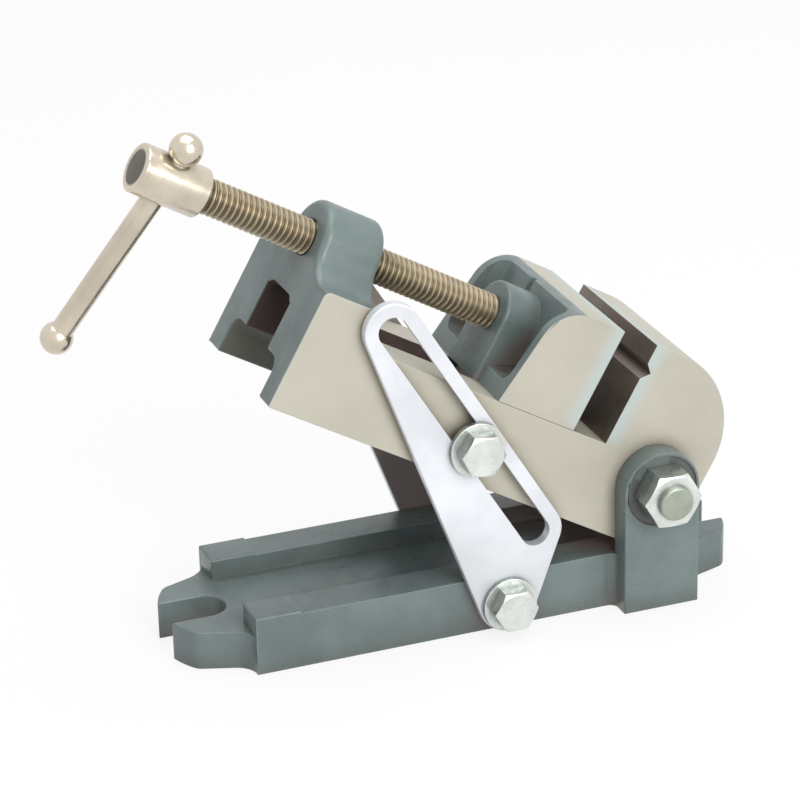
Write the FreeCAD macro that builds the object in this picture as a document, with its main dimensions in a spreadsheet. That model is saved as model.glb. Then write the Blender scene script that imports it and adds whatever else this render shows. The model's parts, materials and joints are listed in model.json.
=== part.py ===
import FreeCAD
import Part
import Sketcher
import math
import os
import re
from FreeCAD import Placement, Rotation, Vector

# Angle vise for a drill press: a slotted base, a tilting vise body on a cross bolt
# between two ears, and on each side a slotted brace arm that holds the tilt.
# Row frame: X along the base towards the ears, Y across, Z up, origin under the
# middle of the base. The tilting body is drawn flat about the pivot, then tilted.

NODE_FOLDER = "parts"

# name, size in millimetres or degrees, meaning
DIMENSIONS = [
    ("jaw_width", 63.5, "width of jaws, tilting body and base"),
    ("base_length", 164.0, "base between the roots of its lugs"),
    ("base_wall", 14.0, "thickness of each base side wall"),
    ("base_wall_top", 20.6, "height of the base side walls"),
    ("pad_length", 17.0, "length of the rest pads at the handle end"),
    ("pad_rise", 1.0, "height of the rest pads above the walls"),
    ("floor_top", 14.0, "height of the channel floor and the lugs"),
    ("handle_lug_length", 24.3, "how far the lug at the handle end stands out"),
    ("pivot_lug_length", 26.3, "how far the lug at the pivot end stands out"),
    ("lug_set_in", 6.05, "base side to the side of each lug where they meet"),
    ("lug_tip_width", 34.0, "width of each lug at its end"),
    ("lug_nose", 32.0, "plan radius of a lug's end"),
    ("lug_corner", 5.0, "plan radius of a lug's corners"),
    ("lug_root", 8.2, "plan radius between lug and base"),
    ("slot_width", 16.0, "width of the hold-down slots"),
    ("slot_reach", 23.2, "length of a hold-down slot to its far end"),
    ("pivot_set_back", 14.5, "pivot axis from the end of the base body"),
    ("pivot_height", 46.0, "pivot axis above the underside"),
    ("rest_tilt", 30.0, "tilt of the body as shown"),
    ("ear_width", 28.6, "width of an ear along the base"),
    ("ear_reach", 8.9, "how far an ear stands out from the base side"),
    ("ear_root", 3.0, "plan radius between ear and base side"),
    ("ear_gap", 0.15, "clearance between an ear and the body"),
    ("spot_radius", 13.4, "radius of the spot face round the pivot nut"),
    ("spot_depth", 0.8, "depth of that spot face"),
    ("body_left", 150.0, "pivot to the handle end of the body"),
    ("body_right", 19.4, "pivot to the back of the fixed jaw"),
    ("body_under", 24.3, "pivot down to the underside of the body"),
    ("way_top", 6.4, "pivot up to the ways"),
    ("jaw_top", 45.8, "pivot up to the top of the jaws"),
    ("fixed_face", 24.5, "pivot back to the fixed jaw's face"),
    ("jaw_opening", 14.25, "jaw gap as shown"),
    ("back_round", 31.5, "radius at the top back of the fixed jaw"),
    ("heel_round", 19.4, "radius at the heel under the pivot"),
    ("groove_height", 29.0, "ways up to the middle of the vee groove"),
    ("groove_depth", 3.0, "depth of the vee groove in the fixed jaw"),
    ("block_length", 23.6, "length of the raised block at the handle end"),
    ("block_top", 19.9, "pivot up to the top of that block"),
    ("nut_boss_radius", 14.1, "radius of the boss that holds the screw"),
    ("nut_boss_foot", 13.0, "radius between the boss and the block"),
    ("nut_boss_round", 2.6, "edge rounding of the boss"),
    ("screw_height", 28.7, "pivot up to the screw's axis"),
    ("deck_under", 10.1, "pivot down to the underside of the ways"),
    ("guide_slot", 22.0, "width of the slot between the ways"),
    ("guide_end", 26.0, "pivot back to the end of that slot"),
    ("leg_wall", 10.2, "thickness of the body's lower walls"),
    ("hollow_end", 18.0, "pivot back to the end of the lower hollow"),
    ("window_top", 9.2, "pivot up to the top of the end window"),
    ("slide_gap", 0.05, "clearance of the jaw on the ways"),
    ("guide_gap", 0.15, "side clearance of the jaw's tongue"),
    ("jaw_foot", 32.6, "length of the movable jaw at the ways"),
    ("jaw_lean", 5.6, "how much shorter the movable jaw is at the top"),
    ("jaw_shoulder", 14.0, "radius of the movable jaw's shoulder"),
    ("jaw_web", 3.75, "thickness of the movable jaw's side webs"),
    ("jaw_front", 20.7, "thickness of the movable jaw behind its face"),
    ("jaw_flange", 6.4, "thickness of the movable jaw's flange"),
    ("pocket_round", 4.5, "corner radius in the movable jaw's pockets"),
    ("socket_radius", 12.0, "radius of the boss round the screw's end"),
    ("socket_length", 34.0, "jaw face to the back of that boss"),
    ("socket_depth", 19.0, "depth of the bore for the screw's end"),
    ("tongue_length", 27.0, "length of the jaw's tongue"),
    ("tongue_start", 2.3, "jaw face to the tongue"),
    ("keeper_thick", 5.0, "thickness of the keeper plate"),
    ("keeper_width", 32.0, "width of the keeper plate"),
    ("keeper_gap", 0.1, "clearance of the keeper plate under the ways"),
    ("keeper_screw_radius", 3.1, "radius of the keeper screws"),
    ("keeper_screw_length", 14.0, "thread length of the keeper screws"),
    ("keeper_screw_pitch", 14.0, "distance between the keeper screws"),
    ("keeper_head_radius", 4.9, "head radius of the keeper screws"),
    ("keeper_head_height", 2.9, "head height of the keeper screws"),
    ("keeper_drive_flats", 4.0, "socket of the keeper screws across its flats"),
    ("hole_spare", 0.5, "how far a blind hole runs past its screw"),
    ("screw_radius", 6.35, "radius of the clamp screw's thread"),
    ("screw_gap", 0.06, "radial clearance of the screw in its boss"),
    ("screw_outside", 42.5, "body end to the head of the screw"),
    ("head_length", 25.2, "length of the screw's head"),
    ("head_radius", 8.8, "radius of the screw's head"),
    ("head_chamfer", 0.8, "chamfer at the ends of the head"),
    ("journal_radius", 5.6, "radius of the screw's end in the jaw"),
    ("journal_gap", 0.08, "radial clearance of that end"),
    ("neck_radius", 3.9, "radius of the groove for the retaining pin"),
    ("neck_back", 6.5, "bottom of the bore to the middle of the groove"),
    ("pin_radius", 2.0, "radius of the retaining pin"),
    ("pin_gap", 0.1, "clearance of the pin in the groove"),
    ("pin_reach", 3.0, "how far the retaining pin runs past the screw's end each way"),
    ("bar_radius", 3.95, "radius of the handle bar"),
    ("bar_gap", 0.1, "radial clearance of the bar in the head"),
    ("bar_span", 86.5, "distance between the centres of the balls"),
    ("bar_hang", 13.1, "screw axis to the upper ball's centre"),
    ("bar_lean", 18.9, "lean of the bar as shown"),
    ("bar_from_end", 11.7, "end of the screw to the bar's hole"),
    ("ball_radius", 5.8, "radius of the handle balls"),
    ("ball_wall", 2.8, "wall between a ball's hole and its outside"),
    ("press_gap", 0.02, "allowance drawn between pressed pieces"),
    ("pivot_bolt_radius", 6.35, "radius of the pivot bolt"),
    ("pivot_gap", 0.06, "radial clearance round the pivot bolt"),
    ("pivot_nut_flats", 19.05, "pivot nut and head across their flats"),
    ("pivot_nut_height", 10.9, "height of the pivot nut"),
    ("pivot_head_height", 7.9, "height of the pivot bolt's head"),
    ("pivot_bolt_end", 2.6, "how far the bolt stands out of its nut"),
    ("arm_thick", 4.0, "thickness of the brace arm"),
    ("arm_gap", 0.1, "clearance each side of the brace arm"),
    ("arm_foot_x", 10.4, "arm pivot along the base"),
    ("arm_foot_z", 11.2, "arm pivot above the underside"),
    ("arm_angle", 121.4, "direction of the arm's slot as shown"),
    ("arm_slot_start", 16.6, "arm pivot to the slot's lower end centre"),
    ("arm_slot_end", 115.2, "arm pivot to the slot's upper end centre"),
    ("arm_slot_width", 10.7, "width of the arm's slot"),
    ("arm_rim", 10.2, "outer radius round the slot"),
    ("arm_foot_radius", 10.8, "outer radius round the arm pivot"),
    ("clamp_x", 73.0, "body pivot back to the clamp bolt"),
    ("clamp_z", 11.0, "body pivot down to the clamp bolt"),
    ("clamp_neck_radius", 2.1, "radius of the clamp bolt within the slot"),
    ("brace_bolt_radius", 4.76, "radius of the two brace bolts"),
    ("brace_bolt_gap", 0.06, "radial clearance of the arm on its bolt"),
    ("brace_bolt_bite", 9.0, "thread length of the brace bolts"),
    ("brace_head_flats", 14.29, "brace bolt heads across their flats"),
    ("brace_head_height", 6.3, "height of the brace bolt heads"),
    ("washer_radius", 10.0, "radius of the brace washers"),
    ("washer_thick", 2.0, "thickness of the brace washers"),
    ("clamp_bolt_turn", 25.0, "turn of the clamp bolt's head"),
    ("foot_bolt_turn", 0.0, "turn of the foot bolt's head"),
    ("window_round", 4.5, "corner radius at the top of the end window"),
    ("leg_round", 5.0, "corner radius inside the body's lower walls"),
    ("plate_round", 0.6, "rounding of the brace arm's edges"),
    ("edge_round", 1.2, "rounding of cast edges"),
]

# Lengths that follow from the driving dimensions, written in their names
HALF_WIDTH = "jaw_width / 2"
BASE_END = "base_length / 2"
LUG_SIDE = "(jaw_width / 2 - lug_set_in)"
PIVOT_X = "base_length / 2 - pivot_set_back"
EAR_IN = "jaw_width / 2 + ear_gap"
EAR_OUT = "jaw_width / 2 + ear_reach"
MOVING_FACE = "-fixed_face - jaw_opening"
JAW_BASE = "way_top + slide_gap"
KEEPER_TOP = "-deck_under - keeper_gap"
SCREW_START = "-body_left - screw_outside - head_length"
SCREW_END = "-fixed_face - jaw_opening - socket_length + socket_depth - journal_gap"
BAR_X = "-body_left - screw_outside - head_length + bar_from_end"
WASHER_BACK = "(jaw_width / 2 + arm_gap * 2 + arm_thick)"
HEAD_BACK = "(jaw_width / 2 + arm_gap * 2 + arm_thick + washer_thick)"

# A nut's outer face is this share of its flats, and its corners fall away at 30 degrees
HEX_FACE = 0.95
CHAMFER_SLOPE = 1.732
# How far a cutting tool runs past the face that it opens
PAST = "1"
# How far a tool whose edges are rounded runs past it
CLEAR_OF = "10"
# A rounding takes at most this share of the wall beside it
ROOM_IN_USE = 0.98

ALONG_X = Vector(1, 0, 0)
ALONG_Y = Vector(0, 1, 0)
ALONG_Z = Vector(0, 0, 1)
NEARER = Vector(0, -1, 0)
# Side, its sign along Y, and the way out of the vise there
SIDES = (("near", "-1", NEARER), ("far", "1", ALONG_Y))

document = FreeCAD.newDocument("angle_vise")
sheet = document.addObject("Spreadsheet::Sheet", "Sizes")
for row, (alias, value, meaning) in enumerate(DIMENSIONS, start=1):
    sheet.set(f"A{row}", meaning)
    sheet.set(f"B{row}", str(value))
    sheet.setAlias(f"B{row}", alias)
document.recompute()

ALIASES = {alias for alias, value, meaning in DIMENSIONS}
VALUES = {alias: float(sheet.get(alias)) for alias in ALIASES}
subparts = []


def linked(text):
    """An expression with each size's name pointing at its spreadsheet cell."""
    return re.sub(r"[a-z_]+", lambda word: "Sizes." + word[0] if word[0] in ALIASES else word[0], text)


def number(text):
    """The present value of an expression, for shapes that are worked out."""
    plain = re.sub(r"[a-z_]+", lambda word: repr(VALUES[word[0]]) if word[0] in VALUES else word[0], text)
    probe = sheet.evalExpression(plain)
    return float(getattr(probe, "Value", probe))


def place(thing, at):
    """Ties an object's position to three expressions."""
    for axis, text in zip("xyz", at):
        thing.setExpression(f".Placement.Base.{axis}", linked(text))


def block(name, x, y, z):
    """A box between two planes along each axis."""
    box = document.addObject("Part::Box", name)
    for size, (low, high) in zip(("Length", "Width", "Height"), (x, y, z)):
        box.setExpression(size, linked(f"({high}) - ({low})"))
    place(box, (x[0], y[0], z[0]))
    return box


def rod(name, radius, length, at, along):
    """A round bar from a point along a direction."""
    bar = document.addObject("Part::Cylinder", name)
    bar.setExpression("Radius", linked(radius))
    bar.setExpression("Height", linked(length))
    bar.Placement = Placement(Vector(), Rotation(ALONG_Z, along))
    place(bar, at)
    return bar


def taper(name, start_radius, end_radius, length, at, along):
    """A cone or its stump from a point along a direction."""
    cone = document.addObject("Part::Cone", name)
    cone.setExpression("Radius1", linked(start_radius))
    cone.setExpression("Radius2", linked(end_radius))
    cone.setExpression("Height", linked(length))
    cone.Placement = Placement(Vector(), Rotation(ALONG_Z, along))
    place(cone, at)
    return cone


def hexagon(name, flats, height, at, along, turn="0"):
    """A six-sided nut or bolt head with its outer corners turned off."""
    prism = document.addObject("Part::Prism", name + "_prism")
    prism.Polygon = 6
    prism.setExpression("Circumradius", linked(f"({flats}) / sqrt(3)"))
    prism.setExpression("Height", linked(height))
    prism.Placement = Placement(Vector(), Rotation(ALONG_Z, along) * Rotation(ALONG_Z, number(turn)))
    place(prism, at)
    face = f"({flats}) / 2 * {HEX_FACE}"
    turned = taper(name + "_cone", f"{face} + ({height}) * {CHAMFER_SLOPE}", face, height, at, along)
    return overlap(name, prism, turned)


def join(name, *pieces):
    """One solid from several."""
    fused = document.addObject("Part::MultiFuse", name)
    fused.Shapes = list(pieces)
    fused.Refine = True
    return fused


def cut(name, base, *tools):
    """A solid with others taken away from it."""
    result = document.addObject("Part::Cut", name)
    result.Base = base
    result.Tool = tools[0] if len(tools) == 1 else join(name + "_tools", *tools)
    result.Refine = True
    return result


def overlap(name, first, second):
    """What two solids share."""
    shared = document.addObject("Part::Common", name)
    shared.Base = first
    shared.Tool = second
    return shared


def rounded(name, base, radius, wanted):
    """A solid with the wanted edges rounded."""
    document.recompute()
    size = number(radius)
    chosen = [(index, size, size) for index, edge in enumerate(base.Shape.Edges, start=1) if wanted(edge)]
    if not chosen:
        raise RuntimeError(f"{name}: no edge to round")
    fillet = document.addObject("Part::Fillet", name)
    fillet.Base = base
    fillet.Edges = chosen
    return fillet


def outline(name, corners, depth, normal):
    """A constrained sketch of straight sides, raised to a solid that is centred on its plane."""
    sketch = document.addObject("Sketcher::SketchObject", name + "_sketch")
    sketch.Placement = Placement(Vector(), Rotation(ALONG_X, ALONG_Z, NEARER) if normal == ALONG_Y else Rotation())
    points = [Vector(number(across), number(up), 0) for across, up in corners]
    for index, point in enumerate(points):
        sketch.addGeometry(Part.LineSegment(point, points[(index + 1) % len(points)]), False)
    for index, corner in enumerate(corners):
        previous = (index - 1) % len(corners)
        sketch.addConstraint(Sketcher.Constraint("Coincident", previous, 2, index, 1))
        for kind, text, value in zip(("DistanceX", "DistanceY"), corner, (points[index].x, points[index].y)):
            tie = sketch.addConstraint(Sketcher.Constraint(kind, -1, 1, index, 1, value))
            sketch.setExpression(f"Constraints[{tie}]", linked(text))
    solid = document.addObject("Part::Extrusion", name)
    solid.Base = sketch
    solid.DirMode = "Custom"
    solid.Dir = normal
    solid.Solid = True
    solid.Symmetric = True
    solid.setExpression("LengthFwd", linked(depth))
    return solid


def near(value, text, slack=0.01):
    """Whether a coordinate lies on a plane given as an expression."""
    return abs(value - number(text)) < slack


def middle(edge):
    """The middle of an edge."""
    return edge.valueAt((edge.FirstParameter + edge.LastParameter) / 2)


def runs_along(edge, direction):
    """Whether an edge is straight and lies along a direction."""
    if edge.Curve.TypeId != "Part::GeomLine":
        return False
    return abs(abs(edge.tangentAt(edge.FirstParameter).dot(direction)) - 1) < 1e-6


def keep(node, solid):
    """Names a finished piece that stands in the row frame."""
    solid.Label = node
    subparts.append(solid)


def keep_tilted(node, solid):
    """Names a finished piece drawn about the pivot, and tilts it as shown."""
    solid.Placement = Placement(Vector(), Rotation(ALONG_Y, 1))
    place(solid, (PIVOT_X, "0", "pivot_height"))
    solid.setExpression(".Placement.Rotation.Angle", linked("rest_tilt"))
    keep(node, solid)


def base_casting():
    """Slotted base with a channel, a lug at each end and two ears."""
    wide = (f"-({HALF_WIDTH})", HALF_WIDTH)
    bed = block("bed", (f"-({BASE_END})", BASE_END), wide, ("0", "base_wall_top"))
    pads = block("pads", (f"-({BASE_END})", f"-({BASE_END}) + pad_length"), wide,
                 ("0", "base_wall_top + pad_rise"))
    trough_side = "jaw_width / 2 - base_wall"
    trough = block("trough", (f"-({BASE_END}) - {PAST}", f"{BASE_END} + {PAST}"),
                   (f"-({trough_side})", trough_side), ("floor_top", "base_wall_top + pad_rise + " + PAST))
    body = cut("bed_with_trough", join("bed_and_pads", bed, pads), trough)
    pieces = [body]
    tools = []
    for side, sign in (("handle", "-1"), ("pivot", "1")):
        pieces.append(lug(side, sign))
        tools += hold_down_slot(side, sign)
    for side, sign, outward in SIDES:
        pieces.append(ear(side, sign))
        seat = f"({sign}) * ({EAR_OUT})"
        tools.append(rod(f"{side}_spot_face", "spot_radius", f"spot_depth + {PAST}",
                         (PIVOT_X, f"{seat} - ({sign}) * spot_depth", "pivot_height"), outward))
        tools.append(brace_bolt_hole(f"{side}_foot_hole", sign, outward, "arm_foot_x", "arm_foot_z"))
    tools.append(rod("pivot_bore", "pivot_bolt_radius + pivot_gap", f"({EAR_OUT}) * 2",
                     (PIVOT_X, EAR_OUT, "pivot_height"), NEARER))
    rough = join("base_rough", *pieces)

    def at_lug_root(edge):
        point = middle(edge)
        on_root = near(abs(point.x), BASE_END) and near(abs(point.y), LUG_SIDE)
        return runs_along(edge, ALONG_Z) and on_root

    blended = rounded("base_lug_roots", rough, lug_root_radius(), at_lug_root)
    keep("base_casting", cut("base_casting", blended, *tools))


def brace_bolt_hole(name, sign, outward, x, z):
    """The blind hole of a brace bolt, as a cutting tool."""
    return rod(name, "brace_bolt_radius + press_gap", "brace_bolt_bite + hole_spare",
               (x, f"({sign}) * ({HALF_WIDTH})", z), outward * -1)


def lug_root_radius():
    """The plan radius beside the lugs, or the most that the base's end leaves room for."""
    flares = [math.atan2(number(f"{LUG_SIDE} - lug_tip_width / 2"), number(f"{side}_lug_length"))
              for side in ("handle", "pivot")]
    room = number("lug_set_in") / math.tan(math.pi / 4 - min(flares) / 2)
    return str(min(number("lug_root"), room * ROOM_IN_USE))


def lug(side, sign):
    """A flat lug that narrows outwards to an arc, with its corners rounded in plan."""
    tip = f"({BASE_END} + {side}_lug_length)"
    root = f"({BASE_END} - lug_root)"
    flare = f"(({LUG_SIDE} - lug_tip_width / 2) / {side}_lug_length * lug_root)"
    plate = outline(f"{side}_lug_plate", [
        (f"({sign}) * {root}", f"-{LUG_SIDE} - {flare}"), (f"({sign}) * {tip}", "-lug_tip_width / 2"),
        (f"({sign}) * {tip}", "lug_tip_width / 2"), (f"({sign}) * {root}", f"{LUG_SIDE} + {flare}")],
        "floor_top * 2", ALONG_Z)
    nose = rod(f"{side}_lug_nose", "lug_nose", "floor_top", (f"({sign}) * ({tip} - lug_nose)", "0", "0"), ALONG_Z)
    shape = overlap(f"{side}_lug_plan", plate, nose)

    def at_corner(edge):
        point = middle(edge)
        return runs_along(edge, ALONG_Z) and abs(point.x) > number(f"{BASE_END} + {side}_lug_length / 2")

    return rounded(f"{side}_lug", shape, "lug_corner", at_corner)


def hold_down_slot(side, sign):
    """The open-ended slot in a lug, as cutting tools."""
    centre = f"({BASE_END} + {side}_lug_length - slot_reach + slot_width / 2)"
    mouth = f"({BASE_END} + {side}_lug_length + {PAST})"
    span = (centre, mouth) if sign == "1" else (f"-{mouth}", f"-{centre}")
    opening = block(f"{side}_slot", span, ("-slot_width / 2", "slot_width / 2"),
                    (f"-{PAST}", f"floor_top + {PAST}"))
    end = rod(f"{side}_slot_end", "slot_width / 2", f"floor_top + 2 * {PAST}",
              (f"({sign}) * {centre}", "0", f"-{PAST}"), ALONG_Z)
    return [opening, end]


def ear(side, sign):
    """A round-topped ear that carries the pivot bolt, joined to the base's side."""
    inside, outside = EAR_IN, EAR_OUT
    plate_span = (inside, outside) if sign == "1" else (f"-({outside})", f"-({inside})")
    foot_in = f"({HALF_WIDTH}) - {PAST}"
    foot_span = (foot_in, outside) if sign == "1" else (f"-({outside})", f"-({foot_in})")
    along_base = (f"{PIVOT_X} - ear_width / 2", f"{PIVOT_X} + ear_width / 2")
    plate = block(f"{side}_ear_plate", along_base, plate_span, ("0", "pivot_height"))
    foot = block(f"{side}_ear_foot", along_base, foot_span, ("0", "base_wall_top"))
    start = inside if sign == "1" else f"-({inside})"
    crown = rod(f"{side}_ear_crown", "ear_width / 2", "ear_reach - ear_gap", (PIVOT_X, start, "pivot_height"),
                ALONG_Y if sign == "1" else NEARER)
    edge, face = f"({PIVOT_X} - ear_width / 2)", f"({sign}) * ({HALF_WIDTH})"
    root_span = (face, f"{face} + ear_root") if sign == "1" else (f"{face} - ear_root", face)
    root = block(f"{side}_ear_root_blank", (f"{edge} - ear_root", edge), root_span, ("0", "base_wall_top"))
    hollow = rod(f"{side}_ear_root_hollow", "ear_root", "base_wall_top + " + PAST,
                 (f"{edge} - ear_root", f"{face} + ({sign}) * ear_root", "0"), ALONG_Z)
    return join(f"{side}_ear", plate, foot, crown, cut(f"{side}_ear_root", root, hollow))


def tilting_body():
    """The vise body: ways, fixed jaw and screw boss in one casting."""
    side_view = outline("body_side", [
        ("-body_left", "-body_under"), ("body_right", "-body_under"), ("body_right", "jaw_top"),
        ("-fixed_face", "jaw_top"), ("-fixed_face", "way_top"), ("-body_left", "way_top")], "jaw_width", ALONG_Y)

    def at_heel(edge):
        point = middle(edge)
        return runs_along(edge, ALONG_Y) and near(point.x, "body_right") and near(point.z, "-body_under")

    def at_back(edge):
        point = middle(edge)
        return runs_along(edge, ALONG_Y) and near(point.x, "body_right") and near(point.z, "jaw_top")

    side_view = rounded("body_heel", side_view, "heel_round", at_heel)
    side_view = rounded("body_back", side_view, "back_round", at_back)
    whole = join("body_with_boss", side_view, nut_boss())
    past_left = f"-body_left - {PAST}"
    half_slot = "guide_slot / 2"
    guide = block("guide_slot_tool", (past_left, "-guide_end"), (f"-({half_slot})", half_slot),
                  (f"-deck_under - {PAST}", f"way_top + {PAST}"))
    window = block("window_tool", (past_left, f"-body_left + block_length + {PAST}"),
                   (f"-({half_slot})", half_slot), (f"-deck_under - {PAST}", "window_top"))
    window = rounded("window_round_tool", window, "window_round",
                     lambda edge: runs_along(edge, ALONG_X) and near(middle(edge).z, "window_top"))
    hollow_side = "jaw_width / 2 - leg_wall"
    hollow = block("hollow_tool", (past_left, "-hollow_end"), (f"-({hollow_side})", hollow_side),
                   (f"-body_under - {PAST}", "-deck_under"))
    hollow = rounded("hollow_round_tool", hollow, "leg_round",
                     lambda edge: runs_along(edge, ALONG_X) and near(middle(edge).z, "-deck_under"))
    vee_middle = "(way_top + groove_height)"
    vee = outline("vee_tool", [
        (f"-fixed_face - {PAST}", f"{vee_middle} - groove_depth - {PAST}"),
        ("-fixed_face + groove_depth", vee_middle),
        (f"-fixed_face - {PAST}", f"{vee_middle} + groove_depth + {PAST}")], f"jaw_width + 2 * {PAST}", ALONG_Y)
    bore = rod("body_pivot_bore", "pivot_bolt_radius + pivot_gap", f"jaw_width + 2 * {PAST}",
               ("0", f"{HALF_WIDTH} + {PAST}", "0"), NEARER)
    thread = rod("boss_thread", "screw_radius + screw_gap", f"block_length + 2 * {PAST}",
                 (past_left, "0", "screw_height"), ALONG_X)
    clamps = [brace_bolt_hole(f"{side}_clamp_hole", sign, outward, "-clamp_x", "-clamp_z")
              for side, sign, outward in SIDES]
    keep_tilted("tilting_body", cut("tilting_body", whole, guide, window, hollow, vee, bore, thread, *clamps))


def nut_boss():
    """The raised block and the boss over the screw, with a hollow-curved foot each side that meets both tangentially."""
    ends = ("-body_left", "-body_left + block_length")
    lift = "(block_top + nut_boss_foot - screw_height)"
    apart = "(nut_boss_radius + nut_boss_foot)"
    reach = f"sqrt({apart} ^ 2 - {lift} ^ 2)"
    raised = block("block_raised", ends, (f"-{HALF_WIDTH}", HALF_WIDTH), (f"way_top - {PAST}", "block_top"))
    crown = rod("boss_crown", "nut_boss_radius", "block_length", (ends[0], "0", "screw_height"), ALONG_X)
    foot = block("boss_foot_blank", ends, (f"-{reach}", reach),
                 ("way_top", f"screw_height + {lift} * nut_boss_radius / {apart}"))
    hollows = [rod(f"boss_foot_hollow_{side}", "nut_boss_foot", f"block_length + 2 * {PAST}",
                   (f"-body_left - {PAST}", f"({sign}) * {reach}", "block_top + nut_boss_foot"), ALONG_X)
               for side, sign, _ in SIDES]
    boss = join("boss", raised, crown, cut("boss_foot", foot, *hollows))

    def at_rim(edge):
        point = middle(edge)
        at_end = near(point.x, ends[0]) or near(point.x, ends[1])
        return at_end and not runs_along(edge, ALONG_Z) and point.z > number("block_top") - 0.01

    return rounded("boss_rim", boss, "nut_boss_round", at_rim)


def movable_jaw():
    """The sliding jaw: a shouldered block with pockets each side of the screw's socket."""
    back = f"({MOVING_FACE} - jaw_foot)"
    side_view = outline("jaw_side", [
        (back, JAW_BASE), (MOVING_FACE, JAW_BASE), (MOVING_FACE, "jaw_top"),
        (f"{back} + jaw_lean", "jaw_top")], "jaw_width", ALONG_Y)
    shoulder = rounded("jaw_shouldered", side_view, "jaw_shoulder",
                       lambda edge: runs_along(edge, ALONG_Y) and near(middle(edge).x, f"{back} + jaw_lean"))
    floor, front = f"({JAW_BASE} + jaw_flange)", f"({MOVING_FACE} - jaw_front)"
    inner_side = "(jaw_width / 2 - jaw_web)"
    pocket = block("pocket_tool", (f"{back} - {CLEAR_OF}", front), (f"-{inner_side}", inner_side),
                   (floor, f"jaw_top + {CLEAR_OF}"))

    def in_pocket(edge):
        point = middle(edge)
        upright = runs_along(edge, ALONG_Z) and near(point.x, front)
        low = near(point.z, floor) and not near(point.x, f"{back} - {CLEAR_OF}")
        return upright or low

    pocket = rounded("pocket_round_tool", pocket, "pocket_round", in_pocket)
    shell = cut("jaw_shell", shoulder, pocket)
    boss_back = f"({MOVING_FACE} - socket_length)"
    web = block("socket_web", (boss_back, f"{front} + {PAST}"), ("-socket_radius", "socket_radius"),
                (JAW_BASE, "screw_height"))
    crown = rod("socket_crown", "socket_radius", f"{front} + {PAST} - {boss_back}",
                (boss_back, "0", "screw_height"), ALONG_X)
    boss = rounded("socket_boss", join("socket_rough", web, crown), "edge_round",
                   lambda edge: near(middle(edge).x, boss_back) and middle(edge).z > number(JAW_BASE) + 1)
    tongue_front = f"({MOVING_FACE} - tongue_start)"
    tongue_side = "(guide_slot / 2 - guide_gap)"
    tongue = block("tongue", (f"{tongue_front} - tongue_length", tongue_front),
                   (f"-{tongue_side}", tongue_side), (KEEPER_TOP, f"{JAW_BASE} + {PAST}"))
    rough = join("jaw_rough", shell, boss, tongue)
    socket = rod("screw_socket", "journal_radius + journal_gap", f"socket_depth + {PAST}",
                 (f"{boss_back} - {PAST}", "0", "screw_height"), ALONG_X)
    pin_x = f"{boss_back} + socket_depth - neck_back"
    pin_y = "neck_radius + pin_gap + pin_radius"
    pin_foot = "screw_height - journal_radius - pin_reach"
    pin_hole = rod("pin_hole", "pin_radius + press_gap", f"jaw_top - ({pin_foot}) + {PAST}",
                   (pin_x, pin_y, pin_foot), ALONG_Z)
    screw_holes = [rod(f"keeper_hole_{end}", "keeper_screw_radius + press_gap", "keeper_screw_length",
                       (keeper_screw_x(sign), "0", f"{KEEPER_TOP} - keeper_thick"), ALONG_Z)
                   for end, sign in (("front", "1"), ("rear", "-1"))]
    keep_tilted("movable_jaw", cut("movable_jaw", rough, socket, pin_hole, *screw_holes))
    pin = rod("retaining_pin_bar", "pin_radius", "2 * (journal_radius + pin_reach)", (pin_x, pin_y, pin_foot), ALONG_Z)
    keep_tilted("screw_retaining_pin", rounded("screw_retaining_pin", pin, "pin_radius / 5",
                                               lambda edge: edge.Curve.TypeId == "Part::GeomCircle"))


def keeper_screw_x(sign):
    """Where a keeper screw stands along the body."""
    return f"{MOVING_FACE} - tongue_start - tongue_length / 2 + ({sign}) * keeper_screw_pitch / 2"


def jaw_keeper():
    """The plate under the ways that holds the jaw down, and its two screws."""
    tongue_front = f"({MOVING_FACE} - tongue_start)"
    plate = block("keeper_blank", (f"{tongue_front} - tongue_length", tongue_front),
                  ("-keeper_width / 2", "keeper_width / 2"), (f"{KEEPER_TOP} - keeper_thick", KEEPER_TOP))
    plate = rounded("keeper_rounded", plate, "leg_round",
                    lambda edge: runs_along(edge, ALONG_Z))
    holes = []
    under = f"{KEEPER_TOP} - keeper_thick"
    for end, sign in (("front", "1"), ("rear", "-1")):
        at = (keeper_screw_x(sign), "0", under)
        holes.append(rod(f"keeper_plate_hole_{end}", "keeper_screw_radius + press_gap",
                         f"keeper_thick + {PAST}", at, ALONG_Z))
        shank = rod(f"keeper_shank_{end}", "keeper_screw_radius", "keeper_screw_length - hole_spare", at, ALONG_Z)
        head = rod(f"keeper_head_{end}", "keeper_head_radius", "keeper_head_height", at, Vector(0, 0, -1))
        drive = hexagon(f"keeper_drive_{end}", "keeper_drive_flats", "keeper_head_height",
                        (at[0], "0", f"{under} - keeper_head_height - {PAST}"), ALONG_Z)
        screw = cut(f"keeper_screw_{end}", join(f"keeper_screw_rough_{end}", shank, head), drive)
        keep_tilted(f"keeper_screw_{end}", screw)
    keep_tilted("jaw_keeper_plate", cut("jaw_keeper_plate", plate, *holes))


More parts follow.
